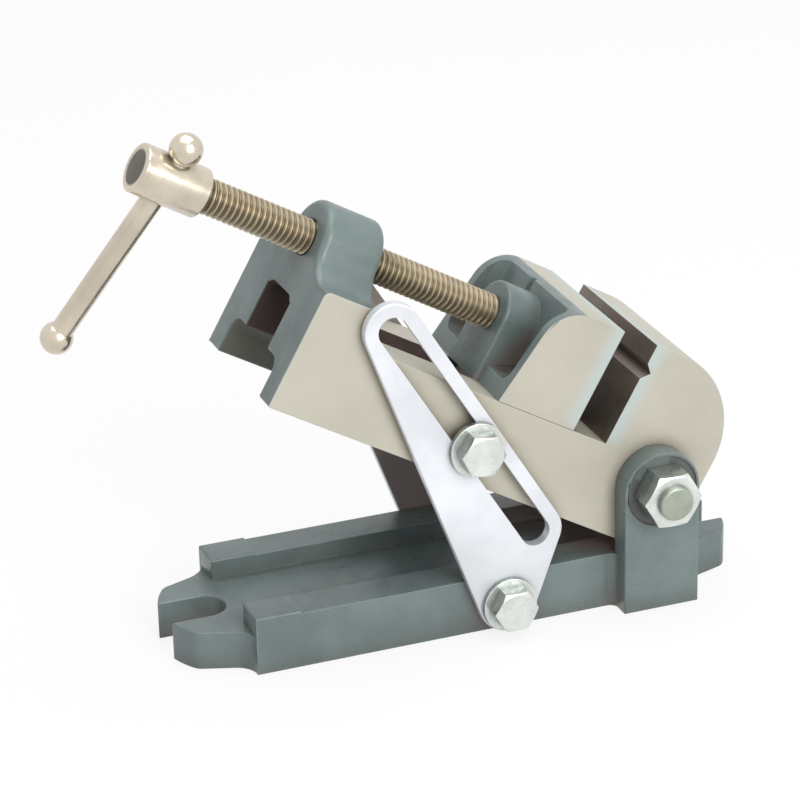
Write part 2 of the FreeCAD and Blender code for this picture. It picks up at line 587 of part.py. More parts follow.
def clamp_screw():
    """The long screw: drilled head, threaded length and a grooved end in the jaw."""
    head = rod("screw_head_blank", "head_radius", "head_length", (SCREW_START, "0", "screw_height"), ALONG_X)
    head = rounded("screw_head", head, "head_chamfer", lambda edge: edge.Curve.TypeId == "Part::GeomCircle")
    thread_start = f"({SCREW_START} + head_length)"
    thread_end = f"({MOVING_FACE} - socket_length - edge_round / 3)"
    thread = rod("screw_thread", "screw_radius", f"{thread_end} - {thread_start} + {PAST}",
                 (f"{thread_start} - {PAST}", "0", "screw_height"), ALONG_X)
    journal = rod("screw_journal", "journal_radius", f"{SCREW_END} - {thread_end} + {PAST}",
                  (f"{thread_end} - {PAST}", "0", "screw_height"), ALONG_X)
    rough = join("screw_rough", head, thread, journal)
    neck_middle = f"({MOVING_FACE} - socket_length + socket_depth - neck_back)"
    neck_start = f"{neck_middle} - pin_radius - pin_gap * 2"
    neck_length = "pin_radius * 2 + pin_gap * 4"
    around = rod("neck_outer", f"journal_radius + {PAST}", neck_length, (neck_start, "0", "screw_height"), ALONG_X)
    core = rod("neck_core", "neck_radius", neck_length, (neck_start, "0", "screw_height"), ALONG_X)
    cross_start = bar_point(f"-head_radius - {PAST}")
    cross = rod("bar_hole", "bar_radius + bar_gap", f"head_radius * 2 + 2 * {PAST}", cross_start, bar_direction())
    keep_tilted("clamp_screw", cut("clamp_screw", rough, cut("neck_ring", around, core), cross))


def bar_point(distance):
    """A point on the handle bar's axis, at a distance down from the screw's axis."""
    return (BAR_X, f"({distance}) * sin(bar_lean * 1 deg)",
            f"screw_height - ({distance}) * cos(bar_lean * 1 deg)")


def bar_direction():
    """The handle bar's direction, downwards."""
    lean = math.radians(VALUES["bar_lean"])
    return Vector(0, math.sin(lean), -math.cos(lean))


def handle():
    """The sliding bar and the ball pressed on each of its ends."""
    down = bar_direction()
    reach = "ball_radius - ball_wall"
    bar = rod("bar_blank", "bar_radius", f"bar_span + 2 * ({reach})", bar_point(f"-bar_hang - ({reach})"), down)
    keep_tilted("handle_bar", rounded("handle_bar", bar, "bar_radius / 6",
                                      lambda edge: edge.Curve.TypeId == "Part::GeomCircle"))
    for end, distance, inward in (("upper", "-bar_hang", "1"), ("lower", "bar_span - bar_hang", "-1")):
        sphere = document.addObject("Part::Sphere", f"ball_{end}_blank")
        sphere.setExpression("Radius", linked("ball_radius"))
        place(sphere, bar_point(distance))
        start = bar_point(f"{distance} - ({inward}) * ({reach} + press_gap)")
        hole = rod(f"ball_{end}_hole", "bar_radius + press_gap", "ball_radius * 2", start,
                   down if inward == "1" else down * -1)
        keep_tilted(f"handle_ball_{end}", cut(f"handle_ball_{end}", sphere, hole))


def pivot_bolt():
    """The bolt through both ears and the body, and its nut on the near side."""
    seat = f"({EAR_OUT} - spot_depth)"
    shank_length = f"{seat} * 2 + pivot_nut_height + pivot_bolt_end"
    shank = rod("pivot_shank", "pivot_bolt_radius", shank_length, (PIVOT_X, seat, "pivot_height"), NEARER)
    shank = rounded("pivot_shank_end", shank, "pivot_bolt_radius / 6",
                    lambda edge: edge.Curve.TypeId == "Part::GeomCircle" and middle(edge).y < 0)
    head = hexagon("pivot_head", "pivot_nut_flats", "pivot_head_height", (PIVOT_X, seat, "pivot_height"), ALONG_Y)
    keep("pivot_bolt", join("pivot_bolt", shank, head))
    blank = hexagon("pivot_nut_blank", "pivot_nut_flats", "pivot_nut_height",
                    (PIVOT_X, f"-{seat}", "pivot_height"), NEARER)
    bore = rod("pivot_nut_bore", "pivot_bolt_radius + press_gap", f"pivot_nut_height + 2 * {PAST}",
               (PIVOT_X, f"-{seat} + {PAST}", "pivot_height"), NEARER)
    keep("pivot_nut", cut("pivot_nut", blank, bore))


def washer(name, sign, outward, x, z):
    """A flat washer outside a brace arm."""
    disc = rod(f"{name}_disc", "washer_radius", "washer_thick", (x, f"({sign}) * {WASHER_BACK}", z), outward)
    hole = rod(f"{name}_hole", "brace_bolt_radius + brace_bolt_gap", f"washer_thick + 2 * {PAST}",
               (x, f"({sign}) * ({WASHER_BACK} - {PAST})", z), outward)
    ring = cut(f"{name}_ring", disc, hole)
    return rounded(name, ring, "plate_round / 2",
                   lambda edge: edge.Curve.TypeId == "Part::GeomCircle" and near(abs(middle(edge).y), HEAD_BACK))


def brace_bolts(side, sign, outward):
    """The foot bolt in the base and the clamp bolt in the body, each with a washer, on one side."""
    outside = "arm_gap * 2 + arm_thick"
    inner_end = f"({sign}) * ({HALF_WIDTH} - brace_bolt_bite)"
    head_back = f"({sign}) * {HEAD_BACK}"
    foot = rod(f"{side}_foot_shank", "brace_bolt_radius", f"brace_bolt_bite + {outside} + washer_thick",
               ("arm_foot_x", inner_end, "arm_foot_z"), outward)
    foot_head = hexagon(f"{side}_foot_head", "brace_head_flats", "brace_head_height",
                        ("arm_foot_x", head_back, "arm_foot_z"), outward, "foot_bolt_turn")
    keep(f"foot_bolt_{side}", join(f"foot_bolt_{side}", foot, foot_head))
    keep(f"foot_washer_{side}", washer(f"foot_washer_{side}", sign, outward, "arm_foot_x", "arm_foot_z"))
    clamp = rod(f"{side}_clamp_shank", "brace_bolt_radius", "brace_bolt_bite", ("-clamp_x", inner_end, "-clamp_z"),
                outward)
    neck = rod(f"{side}_clamp_neck", "clamp_neck_radius", f"{outside} + 2 * {PAST}",
               ("-clamp_x", f"({sign}) * ({HALF_WIDTH} - {PAST})", "-clamp_z"), outward)
    collar = rod(f"{side}_clamp_collar", "brace_bolt_radius", "washer_thick",
                 ("-clamp_x", f"({sign}) * {WASHER_BACK}", "-clamp_z"), outward)
    head = hexagon(f"{side}_clamp_head", "brace_head_flats", "brace_head_height",
                   ("-clamp_x", head_back, "-clamp_z"), outward, "clamp_bolt_turn")
    keep_tilted(f"clamp_bolt_{side}", join(f"clamp_bolt_{side}", clamp, neck, collar, head))
    keep_tilted(f"clamp_washer_{side}", washer(f"clamp_washer_{side}", sign, outward, "-clamp_x", "-clamp_z"))


def circle_hull(circles):
    """The outline pulled tight round several circles, given anticlockwise as (centre, radius)."""
    count = len(circles)
    normals = []
    for index, (centre, radius) in enumerate(circles):
        next_centre, next_radius = circles[(index + 1) % count]
        step = next_centre - centre
        lean = (radius - next_radius) / step.Length
        step.normalize()
        outward = Vector(step.y, -step.x, 0)
        normals.append(step * lean + outward * math.sqrt(1 - lean * lean))
    edges = []
    for index, (centre, radius) in enumerate(circles):
        before, after = normals[index - 1], normals[index]
        sweep = (math.atan2(after.y, after.x) - math.atan2(before.y, before.x)) % (2 * math.pi)
        halfway = Rotation(ALONG_Z, math.degrees(sweep / 2)) * before
        edges.append(Part.Arc(centre + before * radius, centre + halfway * radius, centre + after * radius).toShape())
        next_centre, next_radius = circles[(index + 1) % count]
        edges.append(Part.LineSegment(centre + after * radius, next_centre + after * next_radius).toShape())
    return Part.Wire(edges)


def brace_arm(side, sign):
    """A slotted arm: a plate pulled tight round its foot and both ends of its slot."""
    size = VALUES
    tilt = math.radians(size["rest_tilt"])
    heading = math.radians(size["arm_angle"])
    clamp_x = number(PIVOT_X) - size["clamp_x"] * math.cos(tilt) - size["clamp_z"] * math.sin(tilt)
    clamp_z = size["pivot_height"] + size["clamp_x"] * math.sin(tilt) - size["clamp_z"] * math.cos(tilt)
    # the slot's line passes the clamp bolt, beside the foot
    beside = ((clamp_x - size["arm_foot_x"]) * math.sin(heading)
              - (clamp_z - size["arm_foot_z"]) * math.cos(heading))
    low = Vector(size["arm_slot_start"], beside, 0)
    high = Vector(size["arm_slot_end"], beside, 0)
    rim = size["arm_rim"]
    hull = circle_hull([(Vector(0, 0, 0), size["arm_foot_radius"]), (high, rim), (low, rim)])
    slot = circle_hull([(low, size["arm_slot_width"] / 2), (high, size["arm_slot_width"] / 2)])
    thick = Vector(0, 0, size["arm_thick"])
    plate = Part.Face(hull).extrude(thick)
    plate = plate.makeFillet(size["plate_round"], plate.Edges)
    plate = plate.cut(Part.Face(slot).extrude(thick))
    hole = Part.makeCylinder(size["brace_bolt_radius"] + size["brace_bolt_gap"], size["arm_thick"])
    arm = document.addObject("Part::Feature", f"brace_arm_{side}")
    arm.Shape = plate.cut(hole)
    along = Vector(math.cos(heading), 0, math.sin(heading))
    across = Vector(math.sin(heading), 0, -math.cos(heading))
    low_face = number(f"({sign}) * ({HALF_WIDTH} + arm_gap + arm_thick / 2) - arm_thick / 2")
    arm.Placement = Placement(Vector(size["arm_foot_x"], low_face, size["arm_foot_z"]),
                              Rotation(along, across, ALONG_Y))
    keep(f"brace_arm_{side}", arm)


base_casting()
pivot_bolt()
tilting_body()
movable_jaw()
jaw_keeper()
clamp_screw()
handle()
for side_name, side_sign, way_out in SIDES:
    brace_bolts(side_name, side_sign, way_out)
    brace_arm(side_name, side_sign)
document.recompute()

for thing in document.Objects:
    if {"Invalid", "Error"} & set(thing.State):
        raise RuntimeError(f"{thing.Label} failed: {thing.State}")
for solid in subparts:
    if solid.Shape.isNull() or not solid.Shape.isValid() or not solid.Shape.Solids:
        raise RuntimeError(f"{solid.Label} has no valid solid")

os.makedirs(NODE_FOLDER, exist_ok=True)
for solid in subparts:
    solid.Shape.exportStep(f"{NODE_FOLDER}/{solid.Label}.step")
    bounds = solid.Shape.BoundBox
    print(f"{solid.Label:22s} solids {len(solid.Shape.Solids)} volume {solid.Shape.Volume:10.1f}"
          f" x {bounds.XMin:7.1f} {bounds.XMax:7.1f} y {bounds.YMin:6.1f} {bounds.YMax:6.1f}"
          f" z {bounds.ZMin:6.1f} {bounds.ZMax:6.1f}")
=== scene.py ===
"""Angle vise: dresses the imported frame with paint, ground faces, a cut thread and a studio."""

import json
import math

import bmesh
import bpy
from bpy.props import FloatProperty, FloatVectorProperty, IntProperty, PointerProperty
from bpy.types import Operator, Panel, PropertyGroup
from mathutils import Matrix, Vector
from mathutils.bvhtree import BVHTree
from mathutils.geometry import intersect_point_line


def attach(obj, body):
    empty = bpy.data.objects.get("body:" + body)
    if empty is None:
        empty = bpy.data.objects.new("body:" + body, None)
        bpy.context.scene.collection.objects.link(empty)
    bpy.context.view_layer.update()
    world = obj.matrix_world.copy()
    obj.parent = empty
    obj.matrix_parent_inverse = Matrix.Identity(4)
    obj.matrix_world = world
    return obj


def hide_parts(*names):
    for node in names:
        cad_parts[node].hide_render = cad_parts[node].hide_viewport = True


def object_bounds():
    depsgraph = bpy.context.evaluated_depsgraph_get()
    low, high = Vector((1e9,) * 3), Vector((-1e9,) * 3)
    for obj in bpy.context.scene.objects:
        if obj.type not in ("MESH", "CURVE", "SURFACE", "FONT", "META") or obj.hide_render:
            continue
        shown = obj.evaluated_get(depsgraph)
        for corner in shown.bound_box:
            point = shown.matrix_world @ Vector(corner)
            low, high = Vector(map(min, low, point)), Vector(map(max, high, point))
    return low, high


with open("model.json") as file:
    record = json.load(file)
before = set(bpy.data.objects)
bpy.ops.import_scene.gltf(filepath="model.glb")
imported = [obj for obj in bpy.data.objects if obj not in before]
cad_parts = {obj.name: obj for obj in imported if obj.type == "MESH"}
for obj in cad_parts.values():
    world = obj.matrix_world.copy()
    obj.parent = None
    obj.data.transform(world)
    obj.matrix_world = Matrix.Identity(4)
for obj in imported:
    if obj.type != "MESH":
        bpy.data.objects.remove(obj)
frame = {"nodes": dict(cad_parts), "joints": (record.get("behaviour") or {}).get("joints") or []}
CAD_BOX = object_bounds()

bl_info = {
    "name": "Angle vise",
    "version": (1, 0, 0),
    "blender": (4, 5, 0),
    "location": "3D View > Sidebar > Angle vise",
    "description": "Paint, ground faces, bolts, cut thread and studio for a tilting drill-press vise",
    "category": "Object",
}

NODES = frame["nodes"]
JOINTS = {joint["name"]: joint for joint in frame["joints"]}

# The tilting body is drawn flat about its pivot, then tilted; this frame follows it at rest
PIVOT = Vector(JOINTS["body_tilt"]["pos_m"])
SCREW_AXIS = Vector(JOINTS["screw_turn"]["axis"])
TILT = math.atan2(-SCREW_AXIS.z, SCREW_AXIS.x)
BODY = Matrix.Translation(PIVOT) @ Matrix.Rotation(TILT, 4, "Y")
TO_BODY = BODY.inverted()

# Places in the tilting body's own frame, in metres
SIDE = 0.03175
HANDLE_END = -0.150
WAYS = 0.0064
JAW_TOP = 0.0458
FIXED_FACE = -0.0245
MOVING_FACE = -0.03875
BODY_UNDER = -0.0243
PIVOT_END = BODY_UNDER / 4
HOLLOW_SIDE = 0.0225
HOLLOW_TOP = 0.0095
HOLLOW_END = -0.0175
GRIP_DEPTH = 0.0035
SPOT_CENTRE = 0.003
DECK_UNDER = -0.0101
SCREW_UP = 0.0287
HEAD_END = -0.1925
HEAD_FACE = HEAD_END - 0.0252
HEAD_RADIUS = 0.0088
CREST = 0.00635
THREAD_END = -0.0730

# How straight a face has to point along an axis, and how near to a plane it has to lie
FLAT = 0.999
ON_PLANE = 2e-5

# Edges that turn less than the first angle stay as they are, past the second they are rounded in full
SOFT_TURN = math.radians(28)
HARD_TURN = math.radians(65)
WIDEST = 0.004

# How often tangled roundings are halved, and the smallest fold that counts, in square metres
EASING_ROUNDS = 5
SPECK = 1e-9

# Tones that come on top of a finish
# Brown oil stain that also stands as painted shade in the ground faces' corners
OIL_STAIN_AND_SHADE = (0.16, 0.12, 0.065)
SHADED_IRON = (0.14, 0.145, 0.12)
DULL_DISC = (0.085, 0.077, 0.060)
# Painted shade for the side facets of hexagons
FACET_SHADE = (0.24, 0.27, 0.25)
DULL_FOOT = (0.36, 0.41, 0.40)
# Brown painted shade for the brace arms' sides that face the body
INNER_SIDE_SHADE = (0.34, 0.275, 0.26)
SPOT_IRON = (0.12, 0.13, 0.125)
PLAIN_STEEL = (0.42, 0.42, 0.41)

# Places of the castings' finishes in their material slots; the base has its spot faces where others grip
PAINTED, GROUND, GRIPPING, RAW = range(4)
SPOT = GRIPPING


class ViseSizes(PropertyGroup):
    """Sizes that a user would change."""

    cast_round: FloatProperty(
        name="Cast rounding", description="Rounding of painted cast edges", default=0.0009, unit="LENGTH")
    base_hollow: FloatProperty(
        name="Base hollows", description="Rounding in the base's inner corners", default=0.0016, unit="LENGTH")
    body_hollow: FloatProperty(
        name="Body hollows", description="Rounding in the tilting body's inner corners", default=0.0012,
        unit="LENGTH")
    pocket_hollow: FloatProperty(
        name="Pocket hollows", description="Rounding in the jaw's pockets", default=0.003, unit="LENGTH")
    ground_round: FloatProperty(
        name="Ground edge", description="Break on edges of ground faces", default=0.00025, unit="LENGTH")
    thread_depth: FloatProperty(
        name="Thread depth", description="Crest to root of the clamp screw's thread", default=0.00095,
        unit="LENGTH")
    thread_pitch: FloatProperty(
        name="Thread pitch", description="Distance between crests of the clamp screw", default=0.0022,
        unit="LENGTH")
    thread_sides: IntProperty(
        name="Thread sides", description="Facets round the clamp screw", default=48, min=12)


class ViseColours(PropertyGroup):
    """Colours that a user would change."""

    paint: FloatVectorProperty(
        name="Paint", description="Enamel on the castings", default=(0.140, 0.183, 0.180), subtype="COLOR")
    ground: FloatVectorProperty(
        name="Ground faces", description="Bare machined iron", default=(0.475, 0.455, 0.385), subtype="COLOR")
    ground_cool: FloatVectorProperty(
        name="Ground edges", description="Brighter strip beside the jaw faces", default=(0.46, 0.52, 0.50),
        subtype="COLOR")
    # The jaw faces' dark is painted shade and reflection from the gap between the jaws
    jaw_painted_shade: FloatVectorProperty(
        name="Jaw faces", description="Dark faces that grip the work", default=(0.19, 0.155, 0.130),
        subtype="COLOR")
    # Unpainted iron in the hollows; its dark brown is partly painted shade
    raw_iron_shaded: FloatVectorProperty(
        name="Raw iron", description="Unpainted hollows of the castings", default=(0.055, 0.035, 0.030),
        subtype="COLOR")
    arm_zinc: FloatVectorProperty(
        name="Arm plating", description="Bright zinc on the brace arm", default=(0.745, 0.765, 0.81),
        subtype="COLOR")
    bolt_zinc: FloatVectorProperty(
        name="Bolt plating", description="Zinc on bolts, nut and washers", default=(0.72, 0.75, 0.72),
        subtype="COLOR")
    screw_gold: FloatVectorProperty(
        name="Screw", description="Oiled turned steel", default=(0.50, 0.42, 0.29), subtype="COLOR")
    nickel: FloatVectorProperty(
        name="Handle plating", description="Nickel on the handle and the screw's head",
        default=(0.63, 0.565, 0.46), subtype="COLOR")
    pivot_steel: FloatVectorProperty(
        name="Pivot bolt", description="Dull end of the pivot bolt", default=(0.36, 0.40, 0.33), subtype="COLOR")
    # Brown painted shade for the castings' deep hollows and the space under the body
    deep_shade_brown: FloatVectorProperty(
        name="Dust", description="Brown film in the castings' deep hollows", default=(0.38, 0.26, 0.225),
        subtype="COLOR")
    # Soiling and painted shade: this colour is laid into corners and under overhangs, where shade falls
    grime_and_shade: FloatVectorProperty(
        name="Grime", description="What gathers in the corners", default=(0.055, 0.042, 0.033), subtype="COLOR")


class Shading:
    """A material's node tree with short ways to add and link nodes."""

    def __init__(self, name):
        self.material = bpy.data.materials.new(name)
        self.material.use_nodes = True
        self.tree = self.material.node_tree
        self.surface = self.tree.nodes["Principled BSDF"]

    def add(self, kind, inputs=None, **settings):
        """Adds a node, sets its properties and fills or links its inputs."""
        node = self.tree.nodes.new(kind)
        for key, value in settings.items():
            setattr(node, key, value)
        for key, value in (inputs or {}).items():
            self.feed(node.inputs[key], value)
        return node

    def feed(self, socket, value):
        """Links an output into a socket, or sets the socket's own value."""
        if isinstance(value, bpy.types.NodeSocket):
            self.tree.links.new(value, socket)
        else:
            socket.default_value = value

    def place(self):
        """The piece's own coordinates."""
        return self.add("ShaderNodeTexCoord").outputs["Object"]

    def along_body(self, stretch=(1, 1, 1)):
        """Coordinates along, across and up the tilting body."""
        pose = {"Vector": self.place(), "Location": PIVOT, "Rotation": (0, TILT, 0)}
        turned = self.add("ShaderNodeMapping", pose, vector_type="TEXTURE")
        return self.add("ShaderNodeMapping", {"Vector": turned.outputs[0], "Scale": stretch}).outputs[0]

    def part(self, vector, axis):
        """One part of a vector: 0, 1 or 2 for x, y or z."""
        return self.add("ShaderNodeSeparateXYZ", {0: vector}).outputs[axis]

    def facing(self):
        """Which way the surface points, in the piece's own coordinates."""
        return self.add("ShaderNodeTexCoord").outputs["Normal"]

    def noise(self, scale, detail=3.0, roughness=0.55, vector=None):
        """Soft random values about one half."""
        return self.add("ShaderNodeTexNoise", {"Vector": vector or self.place(), "Scale": scale, "Detail": detail,
                                               "Roughness": roughness}).outputs["Fac"]

    def spread(self, value, low, high, out_low=0.0, out_high=1.0, smooth=True):
        """Maps a range of a value onto another, held at its ends."""
        ends = {"Value": value, "From Min": low, "From Max": high, "To Min": out_low, "To Max": out_high}
        node = self.add("ShaderNodeMapRange", ends)
        node.interpolation_type = "SMOOTHSTEP" if smooth else "LINEAR"
        return node.outputs[0]

    def maths(self, operation, first, second=0.0):
        """One sum on one or two values."""
        return self.add("ShaderNodeMath", {0: first, 1: second}, operation=operation).outputs[0]

    def blend(self, share, under, over):
        """Mixes two colours by a share."""
        node = self.add("ShaderNodeMix", data_type="RGBA")
        for socket, value in zip((node.inputs[0], node.inputs[6], node.inputs[7]), (share, under, over)):
            self.feed(socket, tinted(value))
        return node.outputs[2]

    def bump(self, height, distance, strength=1.0, normal=None):
        """A bump from a height, on top of another."""
        inputs = {"Height": height, "Distance": distance, "Strength": strength}
        if normal is not None:
            inputs["Normal"] = normal
        return self.add("ShaderNodeBump", inputs).outputs[0]

    def edge(self, radius, low, high):
        """One along the piece's edges, none on its flats."""
        turned = self.add("ShaderNodeBevel", {"Radius": radius}, samples=6).outputs[0]
        flat = self.add("ShaderNodeNewGeometry").outputs["Normal"]
        aligned = self.add("ShaderNodeVectorMath", {0: turned, 1: flat}, operation="DOT_PRODUCT").outputs["Value"]
        return self.spread(self.maths("SUBTRACT", 1.0, aligned), low, high)

    def corner(self, distance, low, high):
        """One deep in corners and under overhangs, none in the open."""
        open_share = self.add("ShaderNodeAmbientOcclusion", {"Distance": distance}, samples=16).outputs["AO"]
        return self.spread(open_share, low, high, 1.0, 0.0)

    def finish(self, colour, roughness, metallic, normal=None, **others):
        """Wires the surface and gives the material."""
        self.feed(self.surface.inputs["Base Color"], tinted(colour))
        self.feed(self.surface.inputs["Roughness"], roughness)
        self.surface.inputs["Metallic"].default_value = metallic
        if normal is not None:
            self.feed(self.surface.inputs["Normal"], normal)
        for key, value in others.items():
            self.surface.inputs[key.replace("_", " ")].default_value = value
        return self.material


def tinted(value):
    """A colour with its alpha, or any other value as it is."""
    if not isinstance(value, bpy.types.NodeSocket) and hasattr(value, "__len__") and len(value) == 3:
        return (*value, 1.0)
    return value


def lighter(colour, factor):
    """A colour scaled towards light or dark."""
    return tuple(min(1.0, channel * factor) for channel in colour)


def sizes():
    """The sizes in the panel."""
    return bpy.context.scene.angle_vise_sizes


def colours():
    """The colours in the panel."""
    return bpy.context.scene.angle_vise_colours


def once(name, make):
    """A material by name, made the first time that it is asked for."""
    return bpy.data.materials.get(name) or make(name)


def casting_paint():
    """Grey-blue enamel over cast iron: cloudy, a little lumpy, thin and lighter on its edges as wear with a
    painted edge highlight, with painted shade in its corners and brown painted shade in its deep hollows.
    """
    def make(name):
        look = Shading(name)
        paint = colours().paint
        cloud = look.spread(look.noise(38, 4), 0.32, 0.68)
        colour = look.blend(cloud, lighter(paint, 0.86), lighter(paint, 1.13))
        speck = look.spread(look.noise(700, 2), 0.62, 0.78)
        colour = look.blend(look.maths("MULTIPLY", speck, 0.22), colour, lighter(paint, 1.7))
        # Lighter paint along the edges: partly wear, partly a painted edge highlight
        edge_wear_and_highlight = look.maths("MULTIPLY", look.edge(0.0011, 0.02, 0.20), look.spread(look.noise(90, 3), 0.25, 0.6))
        colour = look.blend(look.maths("MULTIPLY", edge_wear_and_highlight, 0.55), colour, lighter(paint, 2.1))
        # Painted shade, with some soiling, in corners and under overhangs
        colour = look.blend(look.maths("MULTIPLY", look.corner(0.014, 0.25, 0.95), 0.5), colour, colours().grime_and_shade)
        # Brown painted shade deep under overhangs and in hollows
        deep_shade_brown = look.maths("MULTIPLY", look.corner(0.050, 0.0, 0.42), 0.9)
        colour = look.blend(deep_shade_brown, colour, colours().deep_shade_brown)
        rough = look.spread(look.noise(160, 3), 0.3, 0.7, 0.27, 0.42)
        lumps = look.bump(look.noise(240, 3), 0.00025, 0.55)
        return look.finish(colour, rough, 0.0, look.bump(look.noise(1500, 2), 0.00006, 0.5, lumps))
    return once("casting_paint", make)


def ground_iron():
    """Bare ground iron: cream-grey with fine marks along the body, cooler beside the jaw faces."""
    def make(name):
        look = Shading(name)
        body = look.along_body()
        x, z = look.part(body, 0), look.part(body, 2)
        cloud = look.spread(look.noise(26, 4), 0.3, 0.7)
        ground = colours().ground
        colour = look.blend(cloud, lighter(ground, 0.94), lighter(ground, 1.06))
        marks = look.noise(30, 2, 0.6, look.along_body((1, 55, 55)))
        colour = look.blend(look.maths("MULTIPLY", look.spread(marks, 0.35, 0.75), 0.12), colour,
                            lighter(ground, 1.25))
        gap_middle = (FIXED_FACE + MOVING_FACE) / 2
        from_gap = look.maths("ABSOLUTE", look.maths("SUBTRACT", x, gap_middle))
        beside = look.spread(from_gap, 0.0085, 0.0145, 1.0, 0.0)
        above = look.spread(z, WAYS - 0.001, WAYS + 0.004)
        colour = look.blend(look.maths("MULTIPLY", beside, above), colour, colours().ground_cool)
        # Oil stain with painted shade in the corners of the ground faces, such as beside the ears
        oil_and_shade = look.corner(0.006, 0.35, 0.98)
        colour = look.blend(look.maths("MULTIPLY", oil_and_shade, 0.6), colour, OIL_STAIN_AND_SHADE)
        rough = look.spread(marks, 0.3, 0.75, 0.42, 0.58)
        return look.finish(colour, rough, 0.25, look.bump(marks, 0.00004, 0.4))
    return once("ground_iron", make)


def gripping_steel():
    """The jaw faces: smooth, slightly blotched steel, painted dark as shade and reflection from the gap between
    the jaws.
    """
    def make(name):
        look = Shading(name)
        dark = colours().jaw_painted_shade
        # Steel darkened as painted shade and reflection from the gap between the jaws
        colour = look.blend(look.spread(look.noise(60, 4), 0.3, 0.7), lighter(dark, 0.75), lighter(dark, 1.3))
        # Painted shade, with some soiling, in the corners beside the jaw faces
        colour = look.blend(look.maths("MULTIPLY", look.corner(0.02, 0.1, 0.9), 0.5), colour, colours().grime_and_shade)
        return look.finish(colour, 0.38, 0.55, look.bump(look.noise(300, 2), 0.00005, 0.4))
    return once("gripping_steel", make)


def raw_iron_shaded():
    """Unpainted hollows: rough and brownish, their dark partly painted shade, greyer below the ways."""
    def make(name):
        look = Shading(name)
        raw = colours().raw_iron_shaded
        # Unpainted iron darkened as painted shade of the hollows
        colour = look.blend(look.spread(look.noise(50, 4), 0.3, 0.7), lighter(raw, 0.7), lighter(raw, 1.35))
        up = look.part(look.along_body(), 2)
        below = look.spread(up, DECK_UNDER - 0.002, DECK_UNDER + 0.001, 0.85, 0.0)
        colour = look.blend(below, colour, SHADED_IRON)
        return look.finish(colour, 0.8, 0.0, look.bump(look.noise(400, 3), 0.0003, 0.6))
    return once("raw_iron_shaded", make)


def plated(name, colour, rough, spangle, metallic=0.9, marks=None):
    """Plated steel with soft patches, fine scratches and painted shade in its corners, and marks of its own where
    asked for.
    """
    def make(title):
        look = Shading(title)
        patch = look.spread(look.noise(spangle, 4), 0.3, 0.7)
        tone = look.blend(patch, lighter(colour, 0.88), lighter(colour, 1.07))
        # Painted shade where the part meets others, such as the pivot bolt entering its nut
        tone = look.blend(look.maths("MULTIPLY", look.corner(0.004, 0.3, 0.95), 0.5), tone, lighter(colour, 0.25))
        if marks:
            tone = marks(look, tone)
        fine = look.noise(900, 2)
        roughness = look.spread(look.noise(spangle * 3, 3), 0.3, 0.7, rough - 0.06, rough + 0.08)
        return look.finish(tone, roughness, metallic, look.bump(fine, 0.00003, 0.35))
    return once(name, make)


def screw_places(look):
    """How far along the body a point lies, and how far out from the screw's axis."""
    x, y, z = (look.part(look.along_body(), axis) for axis in range(3))
    up = look.maths("SUBTRACT", z, SCREW_UP)
    squares = look.maths("ADD", look.maths("MULTIPLY", y, y), look.maths("MULTIPLY", up, up))
    return x, look.maths("SQRT", squares)


def brown_roots(look, tone):
    """A darker brown between the thread's crests."""
    _, out = screw_places(look)
    deep = look.spread(out, CREST - 0.9 * sizes().thread_depth, CREST - 0.1 * sizes().thread_depth, 0.8, 0.0)
    return look.blend(deep, tone, lighter(colours().screw_gold, 0.20))


def dull_end(look, tone):
    """The dark turned disc on the end of the screw's head."""
    along, out = screw_places(look)
    at_end = look.spread(along, HEAD_FACE + 0.0004, HEAD_FACE + 0.0012, 1.0, 0.0)
    inner = look.spread(out, 0.66 * HEAD_RADIUS, 0.80 * HEAD_RADIUS, 1.0, 0.0)
    return look.blend(look.maths("MULTIPLY", at_end, inner), tone, DULL_DISC)


def shaded_facets(look, tone):
    """Hexagon side facets painted darker than the faces turned on a bolt's end: painted shade for the dark they
    reflect.
    """
    side = look.spread(look.maths("ABSOLUTE", look.part(look.facing(), 1)), 0.2, 0.7, 0.85, 0.0)
    return look.blend(side, tone, FACET_SHADE)


def greyed_foot_shaded_inside(look, tone):
    """Plating that greys towards the arm's foot, with brown painted shade on the side towards the body."""
    height = look.part(look.place(), 2)
    tone = look.blend(look.spread(height, 0.015, 0.060, 0.25, 0.0), tone, DULL_FOOT)
    outward = look.maths("MULTIPLY", look.part(look.place(), 1), look.part(look.facing(), 1))
    # Painted shade on the faces turned towards the body
    return look.blend(look.spread(outward, -0.02, -0.005, 0.9, 0.0), tone, INNER_SIDE_SHADE)


def spot_face():
    """Bare iron that was cut flat under the pivot nut."""
    return plated("spot_iron", SPOT_IRON, 0.45, 90, 0.3)


def merged_copy(node):
    """A CAD node's mesh with its corners joined and its flat faces whole."""
    mesh = bmesh.new()
    mesh.from_mesh(NODES[node].data)
    bmesh.ops.remove_doubles(mesh, verts=mesh.verts, dist=2e-6)
    bmesh.ops.dissolve_degenerate(mesh, edges=mesh.edges, dist=1e-7)
    bmesh.ops.dissolve_limit(mesh, angle_limit=math.radians(0.4), verts=mesh.verts, edges=mesh.edges,
                             delimit={"NORMAL"})
    return mesh


def new_piece(name, mesh, materials, body, slot, *nodes):
    """An object from a finished mesh, riding on a body and standing for CAD nodes."""
    plain = isinstance(mesh, bpy.types.Mesh)
    data = mesh if plain else bpy.data.meshes.new(name)
    data.name = name
    if materials:
        data.materials.clear()
        for material in materials:
            data.materials.append(material)
    if not plain:
        mesh.to_mesh(data)
        mesh.free()
    piece = bpy.data.objects.new(name, data)
    bpy.context.scene.collection.objects.link(piece)
    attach(piece, body)
    if nodes:
        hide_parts(*nodes)
    return piece


